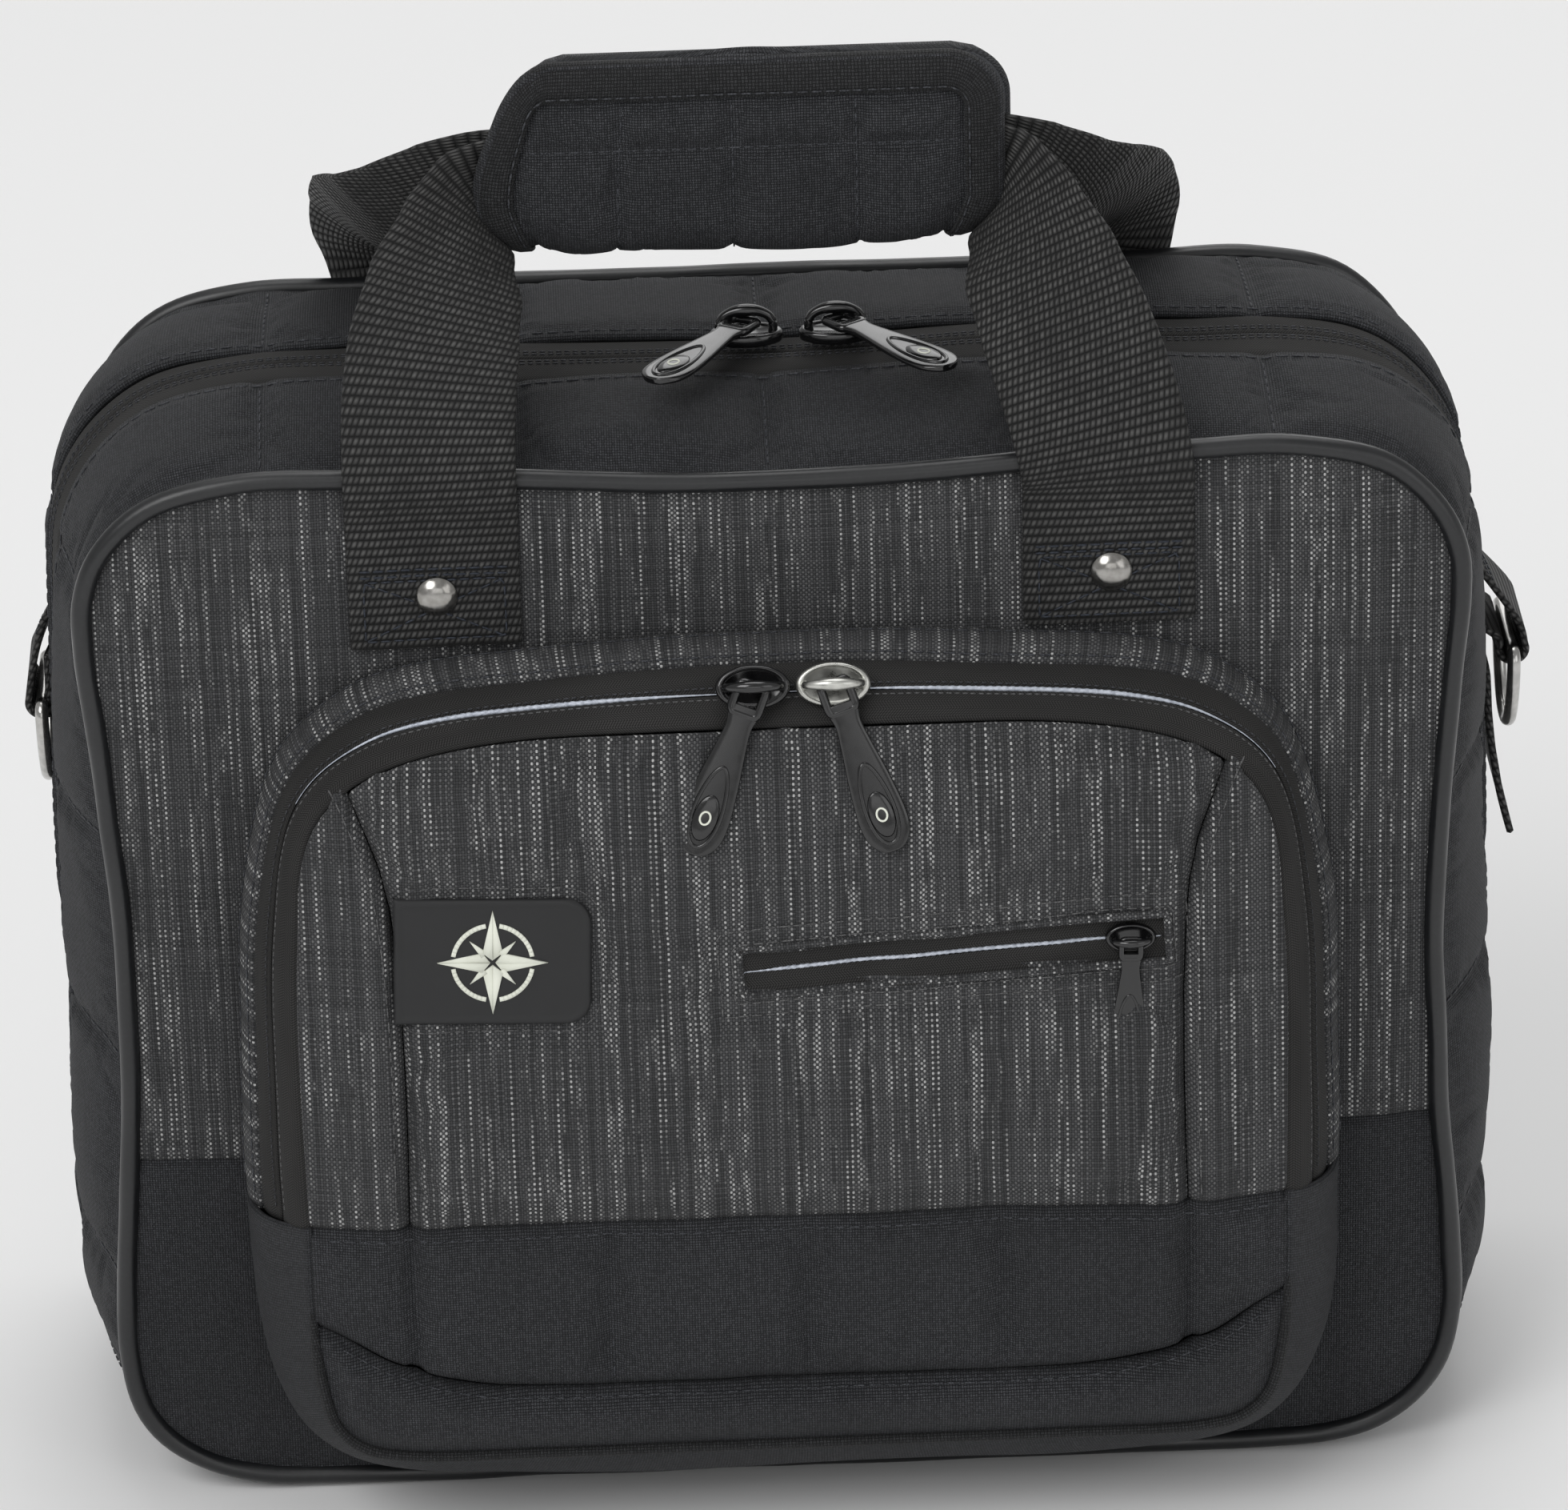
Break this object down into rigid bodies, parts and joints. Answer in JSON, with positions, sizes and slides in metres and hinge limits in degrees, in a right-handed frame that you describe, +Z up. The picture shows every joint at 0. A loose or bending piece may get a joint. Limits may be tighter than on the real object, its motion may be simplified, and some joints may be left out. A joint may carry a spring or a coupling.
{
  "type": "flight bag",
  "caption": "Soft zipped flight bag with a zipped front pocket, two webbing handles in a wrap grip, piped panels and side D-rings, its zips, flaps, pulls and handles jointed.",
  "frame": {"origin": "centre of the flat bottom of the bag, on the surface it stands on, 51 mm behind the front edge of the main body", "axes": "+Z up, -Y towards the front with the pocket, +X to the right as seen from the front"},
  "size_m": [0.3545, 0.1623, 0.34],
  "materials": {
    "black_cloth": "matt 600 denier polyester, plain weave",
    "melange_cloth": "charcoal melange polyester with pale vertical slubs",
    "webbing": "ribbed nylon webbing",
    "vinyl_piping": "satin vinyl",
    "zip_tape": "herringbone zip tape",
    "lining_cloth": "smooth nylon lining",
    "stiffener": "matt board",
    "black_metal": "gloss black enamel",
    "bare_metal": "bare cast zinc",
    "nickel": "dark nickel plate",
    "rubber_patch": "moulded matt rubber"
  },
  "bodies": {
    "root": {"back_panel": "black_cloth", "piping_rear": "vinyl_piping", "gusset_rear": "black_cloth", "gusset_base": "black_cloth", "base_board": "stiffener", "main_zip_tape_rear": "zip_tape", "lining_back": "lining_cloth", "strap_rear_left": "webbing", "strap_rear_right": "webbing", "rivet_rear_left": "nickel", "rivet_rear_right": "nickel", "dring_tab_left": "webbing", "dring_tab_right": "webbing", "webbing_tail_right": "webbing"},
    "front_shell": {"front_panel_upper": "melange_cloth", "front_panel_lower": "black_cloth", "piping_front": "vinyl_piping", "gusset_front": "black_cloth", "main_zip_tape_front": "zip_tape", "lining_front": "lining_cloth", "strap_front_left": "webbing", "strap_front_right": "webbing", "rivet_front_left": "nickel", "rivet_front_right": "nickel", "pocket_gusset_upper": "melange_cloth", "pocket_zip_tape_outer": "zip_tape", "pocket_gusset_lower": "black_cloth", "pocket_band_lower": "black_cloth", "pocket_wedge": "black_cloth"},
    "pocket_flap": {"flap_centre": "melange_cloth", "flap_side_left": "melange_cloth", "flap_side_right": "melange_cloth", "pocket_zip_tape_inner": "zip_tape", "rubber_patch": "rubber_patch", "small_zip_tape": "zip_tape"},
    "handle": {"handle_webbing_front": "webbing", "grip_front": "black_cloth"},
    "grip_flap": {"grip_flap": "black_cloth"},
    "rear_loop": {"handle_webbing_rear": "webbing"},
    "slider_main_left": {"slider_main_left": "black_metal"},
    "slider_main_right": {"slider_main_right": "black_metal"},
    "slider_pocket_left": {"slider_pocket_left": "black_metal"},
    "slider_pocket_right": {"slider_pocket_right": "bare_metal"},
    "slider_small": {"slider_small": "black_metal"},
    "pull_main_left": {"pull_main_left": "black_metal"},
    "pull_main_right": {"pull_main_right": "black_metal"},
    "pull_pocket_left": {"pull_pocket_left": "black_metal"},
    "pull_pocket_right": {"pull_pocket_right": "black_metal"},
    "pull_small": {"pull_small": "black_metal"},
    "dring_left": {"dring_left": "nickel"},
    "dring_right": {"dring_right": "nickel"}
  },
  "joints": [
    {"name": "main_open", "type": "hinge", "parent": "root", "child": "front_shell", "pos_m": [0, -0.0535, 0.0025], "axis": [1, 0, 0], "range_deg": [0, 25]},
    {"name": "pocket_open", "type": "hinge", "parent": "front_shell", "child": "pocket_flap", "pos_m": [0.0015, -0.091, 0.088], "axis": [1, 0, 0], "range_deg": [0, 90]},
    {"name": "handle_swing", "type": "hinge", "parent": "front_shell", "child": "handle", "pos_m": [0, 0.002, 0.25], "axis": [-1, 0, 0], "range_deg": [-25, 25], "deforming": ["handle_webbing_front"]},
    {"name": "rear_loop_swing", "type": "hinge", "parent": "root", "child": "rear_loop", "pos_m": [0, 0.002, 0.25], "axis": [-1, 0, 0], "range_deg": [-25, 25], "deforming": ["handle_webbing_rear"]},
    {"name": "grip_unwrap", "type": "hinge", "parent": "handle", "child": "grip_flap", "pos_m": [-0.001, 0.002, 0.302], "axis": [-1, 0, 0], "range_deg": [0, 100]},
    {"name": "slide_main_left", "type": "slide", "parent": "root", "child": "slider_main_left", "axis": [-1, 0, 0], "range_m": [0, 0.09]},
    {"name": "slide_main_right", "type": "slide", "parent": "root", "child": "slider_main_right", "axis": [1, 0, 0], "range_m": [0, 0.08]},
    {"name": "slide_pocket_left", "type": "slide", "parent": "pocket_flap", "child": "slider_pocket_left", "axis": [-0.9998, 0, -0.0175], "range_m": [0, 0.05]},
    {"name": "slide_pocket_right", "type": "slide", "parent": "pocket_flap", "child": "slider_pocket_right", "axis": [0.9998, 0, -0.0175], "range_m": [0, 0.045]},
    {"name": "slide_small", "type": "slide", "parent": "pocket_flap", "child": "slider_small", "axis": [-0.9986, -0.004, -0.0523], "range_m": [0, 0.078]},
    {"name": "lift_pull_main_left", "type": "hinge", "parent": "slider_main_left", "child": "pull_main_left", "pos_m": [-0.003, -0.0015, 0.27143], "axis": [-0.8387, 0.5446, 0], "range_deg": [0, 45]},
    {"name": "lift_pull_main_right", "type": "hinge", "parent": "slider_main_right", "child": "pull_main_right", "pos_m": [0.0175, -0.0015, 0.27143], "axis": [-0.7986, -0.6018, 0], "range_deg": [0, 45]},
    {"name": "lift_pull_pocket_left", "type": "hinge", "parent": "slider_pocket_left", "child": "pull_pocket_left", "pos_m": [-0.0055, -0.08079, 0.21825], "axis": [-0.9272, 0.1583, 0.3395], "range_deg": [0, 110]},
    {"name": "lift_pull_pocket_right", "type": "hinge", "parent": "slider_pocket_right", "child": "pull_pocket_right", "pos_m": [0.0125, -0.08079, 0.21824], "axis": [-0.9483, -0.1341, -0.2876], "range_deg": [0, 110]},
    {"name": "lift_pull_small", "type": "hinge", "parent": "slider_small", "child": "pull_small", "pos_m": [0.078, -0.0912, 0.15386], "axis": [-0.9994, 0.0026, 0.0348], "range_deg": [0, 110]},
    {"name": "swing_dring_left", "type": "hinge", "parent": "root", "child": "dring_left", "pos_m": [-0.1705, 0.025, 0.1755], "axis": [0, 1, 0], "range_deg": [0, 150]},
    {"name": "swing_dring_right", "type": "hinge", "parent": "root", "child": "dring_right", "pos_m": [0.176, 0.025, 0.1755], "axis": [0, -1, 0], "range_deg": [0, 150]}
  ],
  "couplings": [
    {"joint": "rear_loop_swing", "follows": "handle_swing", "ratio": 1},
    {"joint": "grip_unwrap", "follows": "main_open", "ratio": 4}
  ]
}
